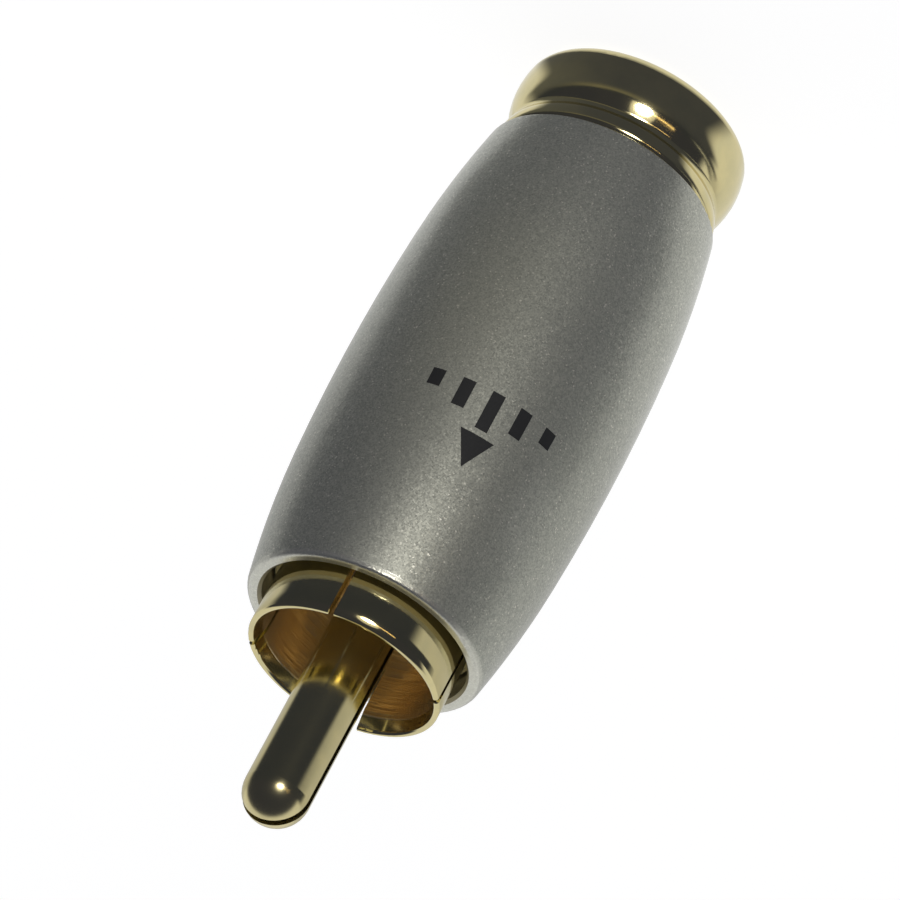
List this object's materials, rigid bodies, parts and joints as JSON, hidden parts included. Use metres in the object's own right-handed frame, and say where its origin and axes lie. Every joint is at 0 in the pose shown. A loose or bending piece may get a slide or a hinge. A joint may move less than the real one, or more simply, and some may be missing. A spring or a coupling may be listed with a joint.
{
  "type": "rca plug",
  "caption": "Phono cable plug: barrel-shaped coated sleeve that unscrews from a gold-plated slotted ground collar with a split centre pin, and a rounded gold rear ferrule for the cable",
  "frame": {"origin": "on the plug's axis, in the flat rear face of the ferrule that it stands on", "axes": "+Z runs along the axis from the cable entry to the pin's tip. -Y is the side of the sleeve with the printed mark. +X completes a right-handed frame."},
  "size_m": [0.0138, 0.0138, 0.042],
  "materials": {
    "pearl_coat": "satin pearl grey metallic coat with fine flake, on turned brass",
    "gold_plate": "polished gold plate on turned brass",
    "insulator": "turned dark phenolic",
    "liner_plastic": "natural nylon, a smooth extruded tube",
    "screw_steel": "blackened steel"
  },
  "bodies": {
    "shell": {"sleeve": "pearl_coat", "rear_ferrule": "gold_plate"},
    "liner": {"liner": "liner_plastic"},
    "contacts": {"contact_body": "gold_plate", "front_insulator": "insulator", "rear_insulator": "insulator", "retaining_ring": "gold_plate", "centre_pin": "gold_plate", "clamp_screws": "screw_steel"}
  },
  "joints": [
    {"name": "unscrew_turn", "type": "hinge", "parent": "shell", "child": "liner", "pos_m": [0, 0, 0.0166], "axis": [0, 0, 1], "range_deg": [0, 2160]},
    {"name": "unscrew_rise", "type": "slide", "parent": "liner", "child": "contacts", "axis": [0, 0, 1], "range_m": [0, 0.0045]}
  ],
  "couplings": [
    {"joint": "unscrew_rise", "follows": "unscrew_turn", "m_per_rad": 0.00011936}
  ]
}
